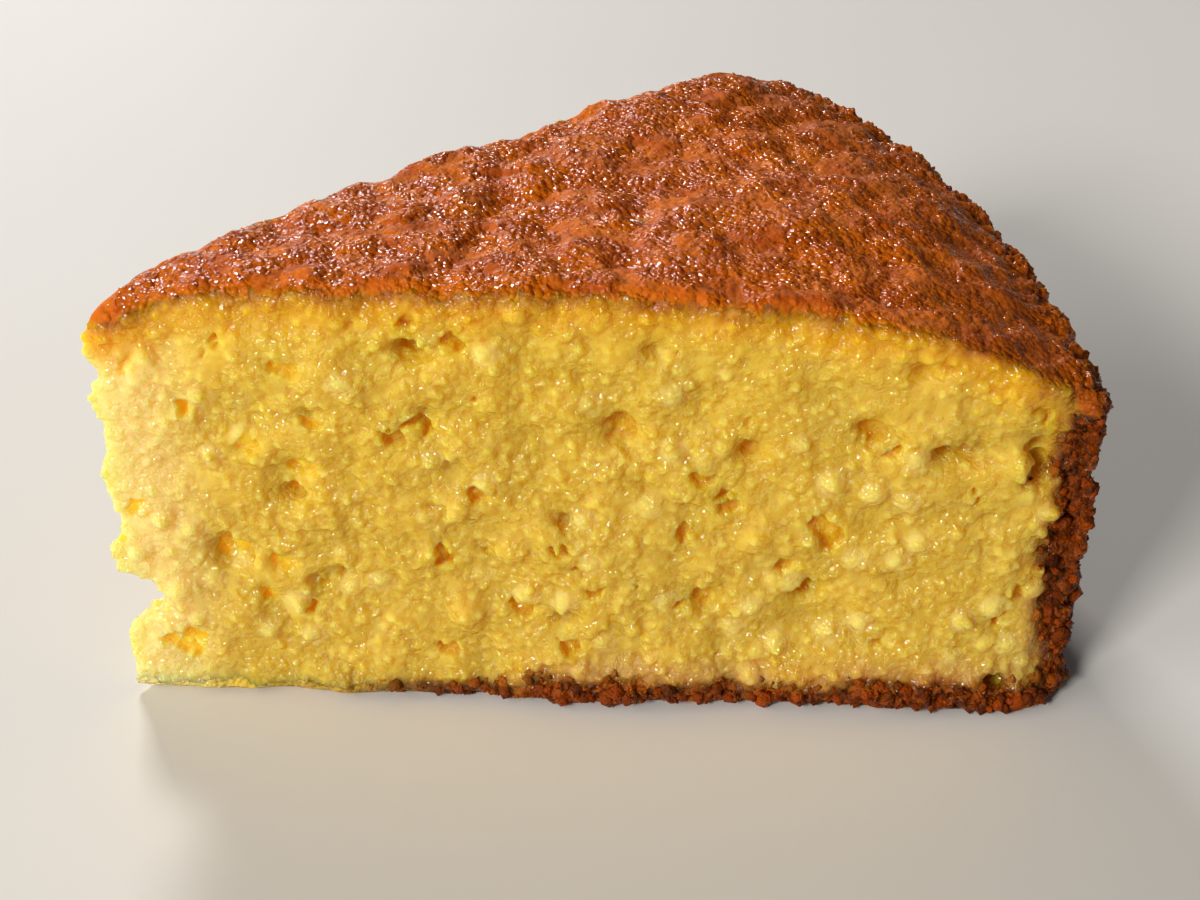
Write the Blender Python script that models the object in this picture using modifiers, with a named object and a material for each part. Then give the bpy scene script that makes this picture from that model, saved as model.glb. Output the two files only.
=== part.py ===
"""One slice of a round lemon yogurt cake, an eighth of an eight inch round, on its base.

It is made the way the real slice is: the round is turned from its section, an eighth is cut
out of it, the crust and the crumb get their relief, the air pockets are hollowed out, and the
crumbs that cling to it are fused on. X runs along the near cut face from the tip to the rim,
Y from that face into the slice, and Z up. The origin is below the middle of the slice.
"""

import math
import random

import bmesh
import bpy
from mathutils import Euler, Vector, noise

# Driving dimensions, in metres
TIN_RADIUS = 0.1016
SLICE_ANGLE = math.radians(45)
CROWN_HEIGHT = 0.0503
CENTRE_SINK = 0.0040
CENTRE_SINK_RADIUS = 0.0065
RIM_DROP = 0.0127
RIM_DROP_POWER = 6
FAR_RIM_LIFT = 0.0102
FAR_LIFT_POWER = 7
SHOULDER_RADIUS = 0.0030
SHOULDER_START = 60
BASE_CORNER_RADIUS = 0.0035

# Fineness of the even mesh that the relief is pressed into, and of the finished solid
WORKING_VOXEL = 0.0009
FUSING_VOXEL = 0.0008
SOLID_TRIANGLES = 11000

# Relief of the baked top: broad swells, wrinkles between them, and blisters
SWELL_SIZE = 0.0170
SWELL_HEIGHT = 0.0009
WRINKLE_SIZE = 0.0090
WRINKLE_DEPTH = 0.0026
BLISTER_SIZE = 0.0044
BLISTER_HEIGHT = 0.0010

# Relief of the cut crumb: clumps, grains between them, and a slow waviness left by the knife
CLUMP_SIZE = 0.0060
CLUMP_HEIGHT = 0.0016
GRAIN_SIZE = 0.0032
GRAIN_HEIGHT = 0.0009
WAVE_SIZE = 0.0260
WAVE_DEPTH = 0.0012
BASE_BULGE = 0.0018
BULGE_TOP = 0.012

# The relief fades to half at the base edge, and to this share at the thin tip
BASE_FADE = 0.0012
TIP_RELIEF = 0.25
TIP_FADE = 0.010

# Relief of the rim crust, and how far the two cut faces have crumbled back at the rim
RIM_GRAIN_SIZE = 0.0036
RIM_GRAIN_HEIGHT = 0.0013
RIM_RECESS_DEPTH = 0.0026
RIM_RECESS_WIDTH = 0.0055

# Air pockets of the near cut face: way along it from the tip, height, width and height of the
# hollow, all in millimetres
NEAR_POCKETS = (
    (33.1, 43.3, 6.2, 3.4),
    (25.6, 42.0, 3.0, 3.0),
    (37.7, 40.6, 3.6, 2.2),
    (22.7, 36.2, 3.8, 2.6),
    (33.7, 36.4, 3.2, 2.6),
    (56.6, 43.0, 3.4, 2.8),
    (53.4, 33.8, 4.6, 5.6),
    (61.3, 36.6, 3.2, 2.6),
    (66.4, 31.6, 4.6, 3.0),
    (78.8, 33.8, 5.8, 4.2),
    (82.6, 41.4, 3.2, 2.4),
    (36.3, 29.3, 3.6, 2.6),
    (19.9, 26.1, 4.4, 2.6),
    (12.9, 18.6, 5.6, 5.0),
    (23.0, 15.6, 7.0, 2.4),
    (47.6, 23.1, 3.0, 2.8),
    (72.8, 14.8, 4.0, 4.6),
    (63.2, 20.9, 3.0, 2.4),
    (47.7, 11.4, 3.4, 2.2),
    (88.0, 31.8, 10.0, 2.8),
    (95.4, 31.0, 5.0, 6.0),
    (93.4, 3.6, 4.4, 3.0),
)
POCKET_DEPTH = 0.0023
FAR_POCKET_COUNT = 24
FAR_POCKET_WIDTHS = (0.0028, 0.0060)

# Bites out of the tip, where crumb has fallen away, as (height, reach) in millimetres
TIP_NOTCHES = (
    (12.5, 5.4),
    (39.5, 2.2),
    (21.5, 1.6),
)

# Clinging crumbs, as (number, least diameter, greatest diameter)
NEAR_FACE_CRUMBS = (26, 0.0020, 0.0032)
FAR_FACE_CRUMBS = (22, 0.0020, 0.0032)
BASE_EDGE_CRUMBS = (26, 0.0020, 0.0034)
RIM_CRUMBS = (30, 0.0024, 0.0040)
CRUMB_ROUGHNESS = 0.22

# Crumbs of the near rim corner that stand out from the outline: turn round the cake in
# degrees, height and diameter in millimetres
CORNER_CRUMBS = (
    (1.0, 37.0, 3.6),
    (1.6, 33.2, 2.8),
    (2.6, 28.0, 3.0),
    (1.4, 20.5, 2.6),
    (2.4, 14.0, 3.4),
    (1.2, 8.5, 3.0),
    (1.8, 2.0, 3.2),
)

CRUMB_COLOUR = (0.80, 0.55, 0.16, 1.0)
CRUMB_SURFACE_ROUGHNESS = 0.6

SEED = 41
MM = 0.001


def clear_scene():
    for leftover in list(bpy.data.objects):
        bpy.data.objects.remove(leftover)


def collection(name):
    made = bpy.data.collections.new(name)
    bpy.context.scene.collection.children.link(made)
    return made


def baked_mesh(source, name):
    """The object's mesh with its modifiers in it, as new mesh data."""
    bpy.context.view_layer.update()
    evaluated = source.evaluated_get(bpy.context.evaluated_depsgraph_get())
    made = bpy.data.meshes.new_from_object(evaluated)
    made.name = name
    return made


def take_modifiers_in(target):
    """Applies every modifier, and leaves the object with the finished mesh."""
    made = baked_mesh(target, target.name)
    target.modifiers.clear()
    target.data = made


def add_boolean(target, operation, operand, solver="EXACT"):
    """Adds a Boolean by one object or by a whole collection."""
    boolean = target.modifiers.new(operation.title(), "BOOLEAN")
    boolean.operation = operation
    boolean.solver = solver
    if isinstance(operand, bpy.types.Collection):
        boolean.operand_type = "COLLECTION"
        boolean.collection = operand
    else:
        boolean.object = operand


def remove_all(helpers):
    for helper in list(helpers.objects):
        bpy.data.objects.remove(helper)
    bpy.data.collections.remove(helpers)


def ease(low, high, value):
    """A smooth step from 0 at low to 1 at high."""
    share = min(max((value - low) / (high - low), 0.0), 1.0)
    return share * share * (3 - 2 * share)


# The form of the baked round


def crown_height(radius):
    """Height of the baked top at a distance from the middle of the round, by the near cut."""
    sink = CENTRE_SINK * math.exp(-((radius / CENTRE_SINK_RADIUS) ** 2))
    drop = RIM_DROP * (radius / TIN_RADIUS) ** RIM_DROP_POWER
    return CROWN_HEIGHT - sink - drop


def far_lift(radius, turn):
    """How much higher the top baked towards the far end of the rim."""
    return FAR_RIM_LIFT * ease(0.0, SLICE_ANGLE, turn) * (radius / TIN_RADIUS) ** FAR_LIFT_POWER


def arc(centre, size, first_degree, last_degree, steps=6):
    """Points of an arc of the section's outline, from one angle to the other."""
    points = []
    for step in range(steps + 1):
        angle = math.radians(first_degree + (last_degree - first_degree) * step / steps)
        points.append((centre[0] + size * math.cos(angle), centre[1] + size * math.sin(angle)))
    return points


def round_section():
    """Half the round's section: out along the top, down the side and back under the base."""
    lean = math.radians(SHOULDER_START)
    top_end = TIN_RADIUS - SHOULDER_RADIUS * (1 - math.cos(lean))
    top_steps = 48
    points = []
    for step in range(top_steps):
        radius = top_end * step / top_steps
        points.append((radius, crown_height(radius)))
    shoulder_height = crown_height(top_end) - SHOULDER_RADIUS * math.sin(lean)
    points += arc((TIN_RADIUS - SHOULDER_RADIUS, shoulder_height), SHOULDER_RADIUS, SHOULDER_START, 0)
    corner = BASE_CORNER_RADIUS
    points += arc((TIN_RADIUS - corner, corner), corner, 0, -90)
    points.append((0.0, 0.0))
    return points


def turned_round():
    """The whole baked cake, turned about the Z axis from its section."""
    section = bpy.data.meshes.new("round")
    points = [(radius, 0.0, height) for radius, height in round_section()]
    edges = [(step, step + 1) for step in range(len(points) - 1)]
    section.from_pydata(points, edges, [])
    made = bpy.data.objects.new("cake_slice", section)
    turn = made.modifiers.new("Turn", "SCREW")
    turn.steps = turn.render_steps = 96
    turn.use_merge_vertices = True
    turn.merge_threshold = 0.00001
    return made


def half_space_cutter(name, cutters, turn, side):
    """A box over everything on one side of an upright plane through the Z axis."""
    reach = 3 * TIN_RADIUS
    mesh = bpy.data.meshes.new(name)
    shape = bmesh.new()
    bmesh.ops.create_cube(shape, size=reach)
    bmesh.ops.translate(shape, verts=shape.verts, vec=(0.0, side * reach / 2, 0.0))
    shape.to_mesh(mesh)
    shape.free()
    cutter = bpy.data.objects.new(name, mesh)
    cutter.rotation_euler = (0.0, 0.0, turn)
    cutter.hide_render = True
    cutter.display_type = "WIRE"
    cutters.objects.link(cutter)
    return cutter


def cut_slice(cake, parts):
    """Cuts the round down to the slice and gives it an even mesh for the relief."""
    parts.objects.link(cake)
    cutters = collection("knives")
    add_boolean(cake, "DIFFERENCE", half_space_cutter("near_cut", cutters, 0.0, -1))
    add_boolean(cake, "DIFFERENCE", half_space_cutter("far_cut", cutters, SLICE_ANGLE, 1))
    take_modifiers_in(cake)
    remove_all(cutters)
    even_out(cake, WORKING_VOXEL)


# Relief


def cell_bump(point, size):
    """From 0 between rounded cells of about this size to 1 at the middle of one."""
    nearest = noise.voronoi(point / size)[0][0]
    return max(0.0, 1.0 - nearest * nearest)


def slow_wave(point, size):
    """Smooth noise from about -1 to 1 that changes over this length."""
    return noise.noise(point / size)


def depths(point):
    """How deep a point lies behind each side of the smooth slice."""
    radius = math.hypot(point.x, point.y)
    turn = math.atan2(point.y, point.x) if radius > 0 else 0.0
    return {
        "near": point.y,
        "far": point.x * math.sin(SLICE_ANGLE) - point.y * math.cos(SLICE_ANGLE),
        "top": crown_height(radius) - point.z,
        "rim": TIN_RADIUS - radius,
        "base": point.z,
        "radius": radius,
        "turn": turn,
    }


def top_relief(point):
    """Broad swells parted by sharp wrinkles, with blisters on them."""
    swell = SWELL_HEIGHT * slow_wave(point + Vector((0.1, 0.6, 0.0)), SWELL_SIZE)
    folded = abs(slow_wave(point + Vector((0.3, 0.1, 0.0)), WRINKLE_SIZE))
    wrinkle = WRINKLE_DEPTH * (min(folded, 0.35) - 0.25)
    blister = BLISTER_HEIGHT * (cell_bump(point, BLISTER_SIZE) - 0.6)
    return swell + wrinkle + blister


def crumb_relief(point, depth):
    """Clumps and grains of torn crumb, on a surface that waves, bulges low down and has
    crumbled back at the rim."""
    clump = CLUMP_HEIGHT * (cell_bump(point, CLUMP_SIZE) - 0.6)
    grain = GRAIN_HEIGHT * (cell_bump(point + Vector((0.5, 0.2, 0.7)), GRAIN_SIZE) - 0.6)
    wave = WAVE_DEPTH * slow_wave(point, WAVE_SIZE)
    low = 1 - ease(0.0, BULGE_TOP, point.z)
    bulge = BASE_BULGE * low * ease(0.1, 0.5, depth["radius"] / TIN_RADIUS)
    ragged_width = RIM_RECESS_WIDTH * (1 + 0.5 * slow_wave(point, RIM_RECESS_WIDTH))
    recess = RIM_RECESS_DEPTH * (1 - ease(0.4, 1.0, depth["rim"] / ragged_width))
    return clump + grain + wave + bulge - recess


def rim_relief(point):
    """Rough crumbs of the crust that stood against the tin."""
    grain = RIM_GRAIN_HEIGHT * (cell_bump(point, RIM_GRAIN_SIZE) - 0.5)
    return grain + 0.5 * WAVE_DEPTH * slow_wave(point, WAVE_SIZE / 2)


def press_relief(cake):
    """Moves each point of the even mesh out or in by the relief of the side it lies on."""
    mesh = cake.data
    outward = {
        "near": Vector((0.0, -1.0, 0.0)),
        "far": Vector((-math.sin(SLICE_ANGLE), math.cos(SLICE_ANGLE), 0.0)),
    }
    normals = [vertex.normal.copy() for vertex in mesh.vertices]
    for vertex, normal in zip(mesh.vertices, normals):
        point = vertex.co.copy()
        depth = depths(point)
        side = min(("near", "far", "top", "rim", "base"), key=lambda name: abs(depth[name]))
        if side == "base":
            continue
        if side == "top":
            amount = top_relief(point)
        elif side == "rim":
            amount = rim_relief(point)
        else:
            amount = crumb_relief(point, depth)
        above_base = ease(-BASE_FADE, BASE_FADE, point.z)
        at_tip = TIP_RELIEF + (1 - TIP_RELIEF) * ease(0.0, TIP_FADE, depth["radius"])
        vertex.co = point + outward.get(side, normal) * amount * above_base * at_tip
        height_share = max(point.z, 0.0) / CROWN_HEIGHT
        vertex.co.z += far_lift(depth["radius"], depth["turn"]) * height_share


# Air pockets, the bite at the tip, and clinging crumbs


def lump(name, group, middle, size, draw, roughness=CRUMB_ROUGHNESS, detail=2):
    """A rough rounded lump, its three diameters in size, added to a collection."""
    mesh = bpy.data.meshes.new(name)
    shape = bmesh.new()
    bmesh.ops.create_icosphere(shape, subdivisions=detail, radius=0.5)
    shift = Vector((draw.uniform(0, 50), draw.uniform(0, 50), draw.uniform(0, 50)))
    for vertex in shape.verts:
        vertex.co *= 1 + roughness * noise.noise(vertex.co * 2.6 + shift)
        vertex.co = Vector((vertex.co.x * size[0], vertex.co.y * size[1], vertex.co.z * size[2]))
    shape.to_mesh(mesh)
    shape.free()
    made = bpy.data.objects.new(name, mesh)
    made.location = middle
    made.hide_render = True
    group.objects.link(made)
    return made


def far_face_point(along, height, depth=0.0):
    """A point of the far cut plane, by its way from the tip, its height and its depth inside."""
    cosine, sine = math.cos(SLICE_ANGLE), math.sin(SLICE_ANGLE)
    return Vector((along * cosine + depth * sine, along * sine - depth * cosine, height))


def rim_point(turn, height, inside):
    """A point just inside the rim, by its turn round the cake, its height and its depth."""
    reach = TIN_RADIUS - inside
    return Vector((reach * math.cos(turn), reach * math.sin(turn), height))


def hollow_pockets(cake, draw):
    """Takes the air pockets and the bite at the tip out of the slice."""
    hollows = collection("hollows")
    for number, (along, height, width, tall) in enumerate(NEAR_POCKETS):
        middle = Vector((along * MM, 0.0003, height * MM))
        size = (width * MM, POCKET_DEPTH * 2 * min(1.0, width / 4), tall * MM)
        pocket = lump(f"near_pocket_{number}", hollows, middle, size, draw, 0.5)
        pocket.rotation_euler = Euler((0.0, draw.uniform(-0.3, 0.3), 0.0))
    for number in range(FAR_POCKET_COUNT):
        along = draw.uniform(0.10, 0.93) * TIN_RADIUS
        height = draw.uniform(0.10, 0.86) * crown_height(along)
        width = draw.uniform(*FAR_POCKET_WIDTHS)
        tall = width * draw.uniform(0.5, 0.9)
        size = (width, POCKET_DEPTH * 2 * min(1.0, width / 0.004), tall)
        middle = far_face_point(along, height, 0.0003)
        pocket = lump(f"far_pocket_{number}", hollows, middle, size, draw, 0.5)
        pocket.rotation_euler = Euler((0.0, draw.uniform(-0.3, 0.3), SLICE_ANGLE))
    for number, (height, reach) in enumerate(TIP_NOTCHES):
        size = (2 * reach * MM, 3 * reach * MM, 1.1 * reach * MM)
        lump(f"tip_notch_{number}", hollows, Vector((0.0, 0.0, height * MM)), size, draw, 0.3)
    add_boolean(cake, "DIFFERENCE", hollows, "MANIFOLD")
    take_modifiers_in(cake)
    remove_all(hollows)


def even_out(cake, voxel):
    """Gives the object one closed mesh of even fineness."""
    even = cake.modifiers.new("Even mesh", "REMESH")
    even.mode = "VOXEL"
    even.voxel_size = voxel
    take_modifiers_in(cake)


def drop_scraps(cake):
    """Keeps the slice and drops any scrap that the pockets have cut loose."""
    shape = bmesh.new()
    shape.from_mesh(cake.data)
    unseen = set(shape.verts)
    bodies = []
    while unseen:
        body = set()
        edge_of_search = [unseen.pop()]
        while edge_of_search:
            vertex = edge_of_search.pop()
            body.add(vertex)
            reached = {edge.other_vert(vertex) for edge in vertex.link_edges} & unseen
            unseen -= reached
            edge_of_search.extend(reached)
        bodies.append(body)
    bodies.sort(key=len)
    for scrap in bodies[:-1]:
        bmesh.ops.delete(shape, geom=list(scrap), context="VERTS")
    shape.to_mesh(cake.data)
    shape.free()


def thin_mesh(cake):
    """Brings the solid down to the triangles that its forms need."""
    triangulate = cake.modifiers.new("Triangles", "TRIANGULATE")
    triangulate.quad_method = "BEAUTY"
    take_modifiers_in(cake)
    thin = cake.modifiers.new("Thin", "DECIMATE")
    thin.ratio = SOLID_TRIANGLES / len(cake.data.polygons)
    take_modifiers_in(cake)


def crumb_places(draw):
    """Yields the middle and the diameter of each clinging crumb."""
    count, least, most = NEAR_FACE_CRUMBS
    for _ in range(count):
        along = draw.uniform(0.12, 0.97) * TIN_RADIUS
        height = draw.uniform(0.08, 0.88) * crown_height(along)
        yield Vector((along, -0.0003, height)), draw.uniform(least, most)
    count, least, most = FAR_FACE_CRUMBS
    for _ in range(count):
        along = draw.uniform(0.12, 0.97) * TIN_RADIUS
        height = draw.uniform(0.08, 0.88) * crown_height(along)
        yield far_face_point(along, height, -0.0003), draw.uniform(least, most)
    count, least, most = BASE_EDGE_CRUMBS
    for number in range(count):
        along = (0.10 + 0.88 * draw.random()) * TIN_RADIUS
        size = draw.uniform(least, most)
        edge = Vector((along, -0.0006, 0.0)) if number % 2 else far_face_point(along, 0.0, -0.0006)
        yield edge + Vector((0.0, 0.0, 0.42 * size)), size
    count, least, most = RIM_CRUMBS
    for _ in range(count):
        turn = draw.uniform(0.05, 0.97) * SLICE_ANGLE
        height = draw.choice((draw.uniform(0.03, 0.2), draw.uniform(0.1, 0.75))) * CROWN_HEIGHT
        size = draw.uniform(least, most)
        yield rim_point(turn, height, 0.35 * size), size
    for degrees, height, size in CORNER_CRUMBS:
        yield rim_point(math.radians(degrees), height * MM, 0.25 * size * MM), size * MM


def fuse_crumbs(cake, draw):
    """Joins the clinging crumbs to the slice."""
    crumbs = collection("crumbs")
    for number, (middle, size) in enumerate(crumb_places(draw)):
        sizes = [size * draw.uniform(0.85, 1.15) for _ in range(3)]
        lump(f"crumb_{number}", crumbs, middle, sizes, draw, detail=1 + (size > 0.0030))
    add_boolean(cake, "UNION", crumbs, "MANIFOLD")
    take_modifiers_in(cake)
    remove_all(crumbs)


def flatten_base(cake):
    """Trims everything below the base to one flat face that the slice stands on."""
    shape = bmesh.new()
    shape.from_mesh(cake.data)
    trim_height = 0.0004
    everything = shape.verts[:] + shape.edges[:] + shape.faces[:]
    cut = bmesh.ops.bisect_plane(
        shape, geom=everything, plane_co=(0.0, 0.0, trim_height), plane_no=(0.0, 0.0, -1.0), clear_outer=True
    )
    rim_edges = [item for item in cut["geom_cut"] if isinstance(item, bmesh.types.BMEdge)]
    bmesh.ops.triangle_fill(shape, use_beauty=True, edges=rim_edges, normal=(0.0, 0.0, -1.0))
    bmesh.ops.translate(shape, verts=shape.verts, vec=(0.0, 0.0, -trim_height))
    bmesh.ops.recalc_face_normals(shape, faces=shape.faces)
    shape.to_mesh(cake.data)
    shape.free()


def centre_on_base(cake):
    """Puts the origin below the middle of the slice."""
    corners = [vertex.co for vertex in cake.data.vertices]
    middle_x = (min(c.x for c in corners) + max(c.x for c in corners)) / 2
    middle_y = (min(c.y for c in corners) + max(c.y for c in corners)) / 2
    for vertex in cake.data.vertices:
        vertex.co.x -= middle_x
        vertex.co.y -= middle_y


def crumb_material():
    made = bpy.data.materials.new("baked_crumb")
    made.use_nodes = True
    shader = made.node_tree.nodes["Principled BSDF"]
    shader.inputs["Base Color"].default_value = CRUMB_COLOUR
    shader.inputs["Roughness"].default_value = CRUMB_SURFACE_ROUGHNESS
    shader.inputs["Metallic"].default_value = 0.0
    return made


def build():
    clear_scene()
    draw = random.Random(SEED)
    parts = collection("lemon_yogurt_cake")
    cake = turned_round()
    cut_slice(cake, parts)
    press_relief(cake)
    hollow_pockets(cake, draw)
    fuse_crumbs(cake, draw)
    even_out(cake, FUSING_VOXEL)
    drop_scraps(cake)
    thin_mesh(cake)
    flatten_base(cake)
    centre_on_base(cake)
    cake.data.materials.clear()
    cake.data.materials.append(crumb_material())
    cake.data.shade_smooth()
    cake.data.name = cake.name


build()
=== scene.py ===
import math

import bmesh
import bpy
import numpy as np
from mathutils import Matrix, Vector


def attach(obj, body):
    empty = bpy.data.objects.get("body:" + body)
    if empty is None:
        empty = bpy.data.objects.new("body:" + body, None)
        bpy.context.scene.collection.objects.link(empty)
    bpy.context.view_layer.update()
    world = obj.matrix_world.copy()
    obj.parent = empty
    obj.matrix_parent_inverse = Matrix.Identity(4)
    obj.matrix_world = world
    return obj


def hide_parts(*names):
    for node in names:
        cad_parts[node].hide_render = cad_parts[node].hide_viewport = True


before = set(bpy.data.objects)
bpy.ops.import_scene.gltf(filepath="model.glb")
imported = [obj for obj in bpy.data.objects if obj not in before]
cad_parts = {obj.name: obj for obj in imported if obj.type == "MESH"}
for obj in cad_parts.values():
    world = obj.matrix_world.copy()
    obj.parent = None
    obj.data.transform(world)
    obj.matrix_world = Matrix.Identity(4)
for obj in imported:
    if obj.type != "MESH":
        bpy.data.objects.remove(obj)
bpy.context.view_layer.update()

# The slice as it was cut: an eighth of a round baked in an eight inch tin, with its flat base
# down. Its smooth form comes from the solid. Each point of it lies on the top, the rim or the
# base that the oven browned, or on one of the two faces that the knife left.
TIP = Vector((-0.05124, -0.03436, 0.0))
TIN_RADIUS = 0.1016
SLICE_ANGLE = math.radians(45)
CROWN_HEIGHT = 0.0503
CENTRE_SINK = 0.0040
CENTRE_SINK_RADIUS = 0.0065
RIM_DROP = 0.0127
FAR_RIM_LIFT = 0.0102
SHOULDER_RADIUS = 0.0030
BASE_BAND = 0.0006
SKIN_TO_CRUMB = (0.0010, 0.0022)
FORM_VOXEL = 0.0006


def finish_mesh(work, *steps):
    """Adds modifiers, each as (kind, settings), and leaves the object with their mesh."""
    for kind, settings in steps:
        modifier = work.modifiers.new(kind.title(), kind)
        for name, value in settings.items():
            setattr(modifier, name, value)
    bpy.context.view_layer.update()
    graph = bpy.context.evaluated_depsgraph_get()
    mesh = bpy.data.meshes.new_from_object(
        work.evaluated_get(graph), preserve_all_data_layers=True, depsgraph=graph
    )
    work.modifiers.clear()
    work.data = mesh
    mesh.name = work.name


def new_object(name, mesh):
    made = bpy.data.objects.new(name, mesh)
    bpy.context.scene.collection.objects.link(made)
    return made


def read_vectors(values, count, name):
    flat = np.empty(3 * count, np.float32)
    values.foreach_get(name, flat)
    return flat.reshape(-1, 3).astype(float)


def read_points(mesh):
    return read_vectors(mesh.vertices, len(mesh.vertices), "co")


def read_values(mesh, name):
    values = np.empty(len(mesh.vertices), np.float32)
    mesh.attributes[name].data.foreach_get("value", values)
    return values.astype(float)


def write_values(mesh, name, values):
    """Keeps a value or a vector for each point on the mesh, under a name."""
    values = np.asarray(values, np.float32)
    kind, field = ("FLOAT", "value") if values.ndim == 1 else ("FLOAT_VECTOR", "vector")
    attribute = mesh.attributes.get(name) or mesh.attributes.new(name, kind, "POINT")
    attribute.data.foreach_set(field, values.ravel())


def smooth_step(low, high, value):
    share = np.clip((value - low) / (high - low), 0.0, 1.0)
    return share * share * (3 - 2 * share)


def depths_of(points):
    """How deep each point lies behind each side of the smooth slice, in metres."""
    x, y, z = points[:, 0] - TIP.x, points[:, 1] - TIP.y, points[:, 2]
    radius = np.hypot(x, y)
    share = radius / TIN_RADIUS
    sink = CENTRE_SINK * np.exp(-((radius / CENTRE_SINK_RADIUS) ** 2))
    lift = FAR_RIM_LIFT * smooth_step(0, SLICE_ANGLE, np.arctan2(y, x)) * share**7
    top = CROWN_HEIGHT - sink - RIM_DROP * share**6 - z / (1 + lift / CROWN_HEIGHT)
    rim = TIN_RADIUS - radius
    round_top = np.maximum(SHOULDER_RADIUS - top, 0)
    round_rim = np.maximum(SHOULDER_RADIUS - rim, 0)
    corner = (round_top > 0) & (round_rim > 0)
    top = np.where(corner, SHOULDER_RADIUS - np.hypot(round_top, round_rim), top)
    far = x * math.sin(SLICE_ANGLE) - y * math.cos(SLICE_ANGLE)
    return {"near": y, "far": far, "top": top, "rim": rim, "base": z, "radius": radius}


form = new_object("slice_form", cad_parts["cake_slice"].data.copy())
shape = bmesh.new()
shape.from_mesh(form.data)
bmesh.ops.remove_doubles(shape, verts=shape.verts, dist=0.00001)
shape.to_mesh(form.data)
shape.free()
finish_mesh(
    form,
    ("REMESH", {"mode": "VOXEL", "voxel_size": FORM_VOXEL}),
    ("SMOOTH", {"factor": 0.5, "iterations": 2}),
)
depth = depths_of(read_points(form.data))
browned = np.minimum(np.minimum(np.abs(depth["top"]), np.abs(depth["rim"])), depth["base"])
knifed = np.minimum(np.abs(depth["near"]), np.abs(depth["far"]))
on_top = (np.abs(depth["top"]) <= browned) & (knifed > browned)
on_base = (depth["base"] < BASE_BAND) & ~on_top
on_rim = (knifed > browned) & ~on_top & ~on_base
for side, members in (("on_top", on_top), ("on_rim", on_rim), ("on_base", on_base)):
    write_values(form.data, side, members)
torn = ~(on_top | on_base | on_rim)
behind_skin = np.minimum(np.minimum(depth["top"], depth["rim"]), depth["base"])
write_values(form.data, "torn", torn * smooth_step(*SKIN_TO_CRUMB, behind_skin))

# The torn crumb: moist sponge that the knife opened. Rounded grains of up to three millimetres
# stand out of both cut faces under finer ones, and all of it is melted into one body.
GRAIN_RADIUS = (0.0007, 0.0015)
GRAIN_SPACING = 0.0022
GRAIN_DENSITY = 150000.0
GRAIN_SUNK = 0.40
GRAIN_ROUGHNESS = 0.0007
GRAIN_ROUGHNESS_SIZE = 0.0016
FINE_GRAIN_RADIUS = (0.00042, 0.00085)
FINE_GRAIN_SPACING = 0.00100
FINE_GRAIN_DENSITY = 1000000.0
FINE_GRAIN_SUNK = 0.20
FINE_GRAIN_ROUGHNESS = 0.0002
FINE_GRAIN_ROUGHNESS_SIZE = 0.0008
BODY_VOXEL = 0.00026


def node(tree, kind, feeds=None, **settings):
    """Adds a node, sets its properties and feeds its inputs with values or outputs."""
    made = tree.nodes.new(kind)
    for name, value in settings.items():
        setattr(made, name, value)
    for key, value in (feeds or {}).items():
        if isinstance(value, bpy.types.NodeSocket):
            tree.links.new(value, made.inputs[key])
        else:
            made.inputs[key].default_value = value
    return made


def calc(tree, operation, first, second=0.0, third=None, clamp=False):
    """The output of a Math node."""
    feeds = {0: first, 1: second}
    if third is not None:
        feeds[2] = third
    return node(tree, "ShaderNodeMath", feeds, operation=operation, use_clamp=clamp).outputs[0]


def product(tree, first, *others):
    """The product of several values."""
    for other in others:
        first = calc(tree, "MULTIPLY", first, other)
    return first


def vector_calc(tree, operation, first, second):
    """The output of a Vector Math node; a vector is scaled by a number."""
    feeds = {0: first, "Scale" if operation == "SCALE" else 1: second}
    return node(tree, "ShaderNodeVectorMath", feeds, operation=operation).outputs[0]


def spread(tree, value, low, high, to_low=0.0, to_high=1.0):
    """A smooth step of a value from one range to another."""
    feeds = {"Value": value, "From Min": low, "From Max": high, "To Min": to_low, "To Max": to_high}
    made = node(tree, "ShaderNodeMapRange", feeds, interpolation_type="SMOOTHSTEP")
    return made.outputs["Result"]


def blend(tree, share, first, second):
    feeds = {"Factor": share, "A": first, "B": second}
    return node(tree, "ShaderNodeMix", feeds, data_type="FLOAT").outputs[0]


def noise_value(tree, place, size, detail=2.0, rough=0.5, output=0):
    feeds = {"Vector": place, "Scale": 1 / size, "Detail": detail, "Roughness": rough}
    return node(tree, "ShaderNodeTexNoise", feeds).outputs[output]


def wandering(tree, place, size, reach):
    """A vector that wanders from place to place, by up to half its reach either way."""
    ways = noise_value(tree, place, size, output=1)
    return vector_calc(tree, "SCALE", vector_calc(tree, "SUBTRACT", ways, (0.5, 0.5, 0.5)), reach)


def cell_value(tree, place, size, feature="F1", output="Distance"):
    feeds = {"Vector": place, "Scale": 1 / size}
    return node(tree, "ShaderNodeTexVoronoi", feeds, feature=feature).outputs[output]


def domes(tree, place, size):
    """Round domes packed side by side, from 0 in the creases to 1 on the crowns."""
    reach = cell_value(tree, place, size)
    rest = calc(tree, "MULTIPLY_ADD", calc(tree, "MULTIPLY", reach, reach), -1.7, 1.0)
    return calc(tree, "SQRT", calc(tree, "MAXIMUM", rest, 0.0))


def new_group(name, kind, inputs, outputs):
    """A node group with named inputs, as (name, socket type, value), and named outputs."""
    tree = bpy.data.node_groups.new(name, kind)
    for label, socket_type, value in inputs:
        socket = tree.interface.new_socket(name=label, in_out="INPUT", socket_type=socket_type)
        if value is not None:
            socket.default_value = value
    for label, socket_type in outputs:
        tree.interface.new_socket(name=label, in_out="OUTPUT", socket_type=socket_type)
    return tree, tree.nodes.new("NodeGroupInput").outputs, tree.nodes.new("NodeGroupOutput")


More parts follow.
